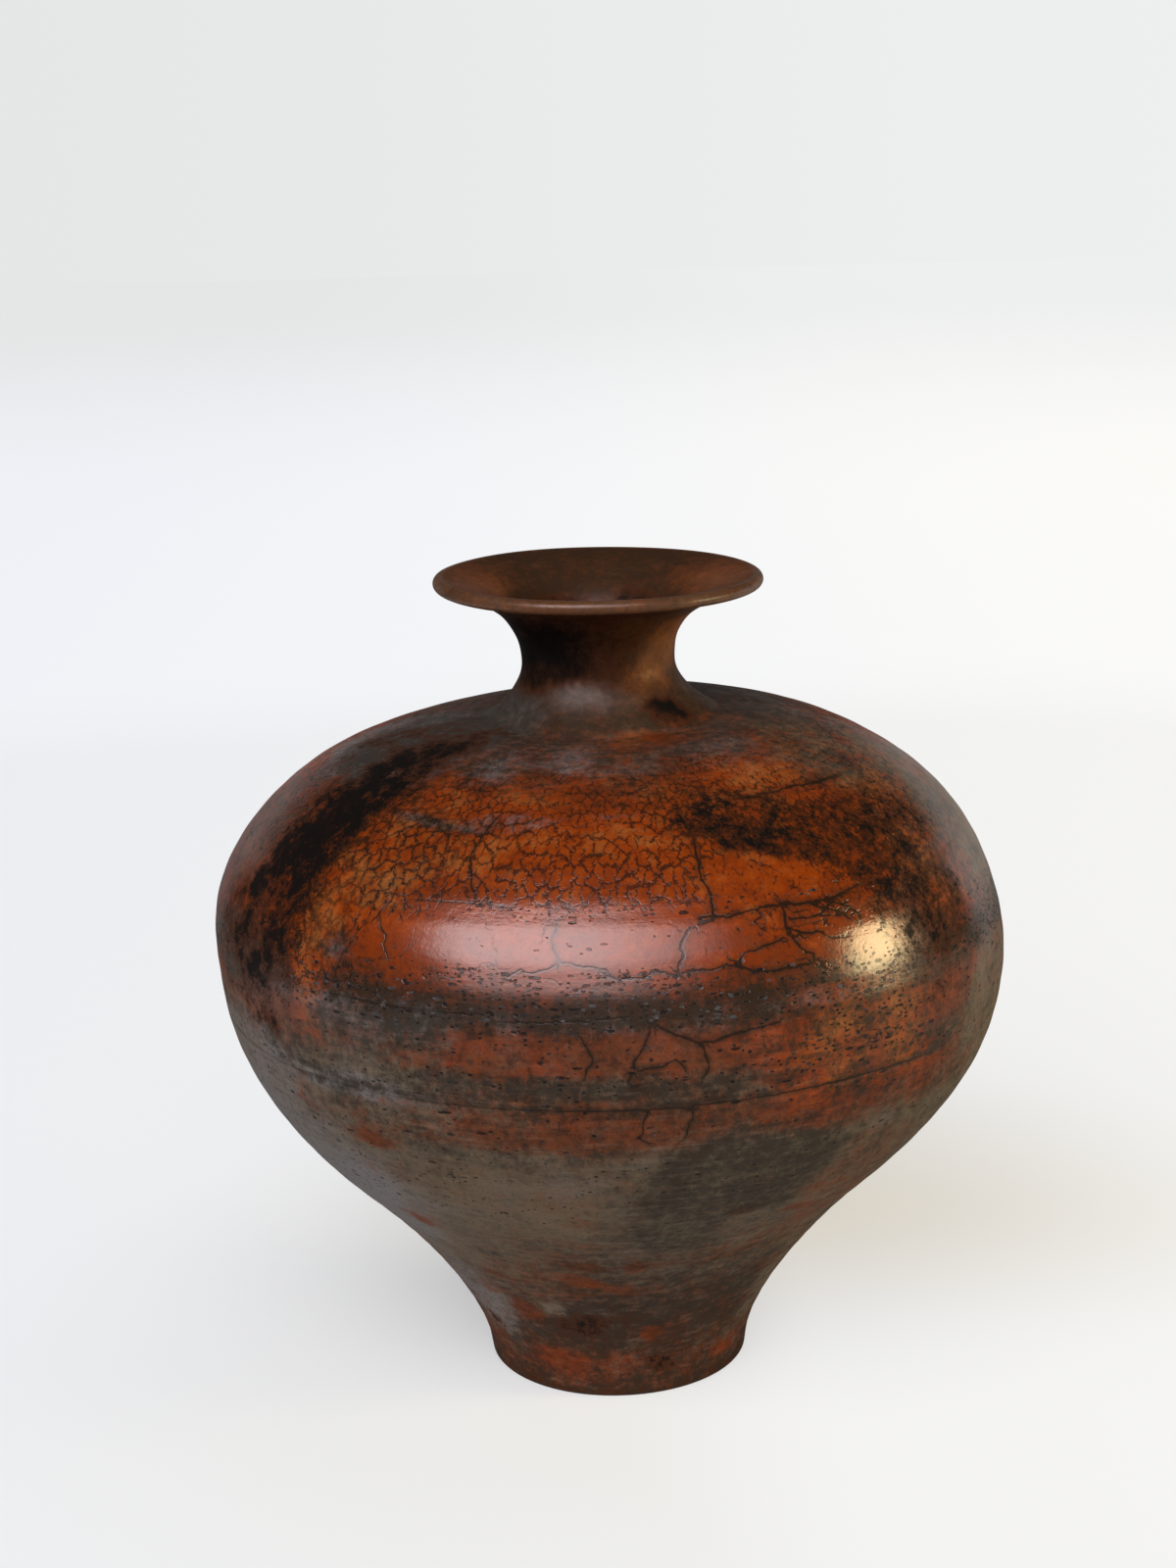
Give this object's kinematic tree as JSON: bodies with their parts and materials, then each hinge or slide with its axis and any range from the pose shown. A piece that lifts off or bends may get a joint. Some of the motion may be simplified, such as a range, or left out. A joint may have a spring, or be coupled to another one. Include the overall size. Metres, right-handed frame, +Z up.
{
  "type": "raku vase",
  "caption": "Round-bellied raku vase with a waisted neck, a wide flared rim and a turned foot ring, burnished, crackled and marked by smoke.",
  "frame": {"origin": "centre of the foot ring's standing face, on the table", "axes": "+Z up along the axis that the vase was turned on; the vase is round, and -Y is the side that the picture shows"},
  "size_m": [0.2806, 0.2806, 0.2905],
  "materials": {
    "smoked_foot": "burnished slip, smoked brown and black",
    "smoked_bowl": "burnished slip, smoked grey-brown, half matt",
    "orange_dome": "burnished orange slip with a fine crackle, semi-gloss",
    "brown_neck": "burnished slip, smoked copper-brown, semi-gloss",
    "joint_slip": "plain joining slip, matt"
  },
  "bodies": {
    "root": {"foot_ring": "smoked_foot", "base_slab": "smoked_foot", "lower_bowl": "smoked_bowl", "upper_dome": "orange_dome", "neck_and_rim": "brown_neck", "foot_joint_slip": "joint_slip", "base_joint_slip": "joint_slip", "belly_joint_slip": "joint_slip", "neck_joint_slip": "joint_slip"}
  },
  "joints": []
}
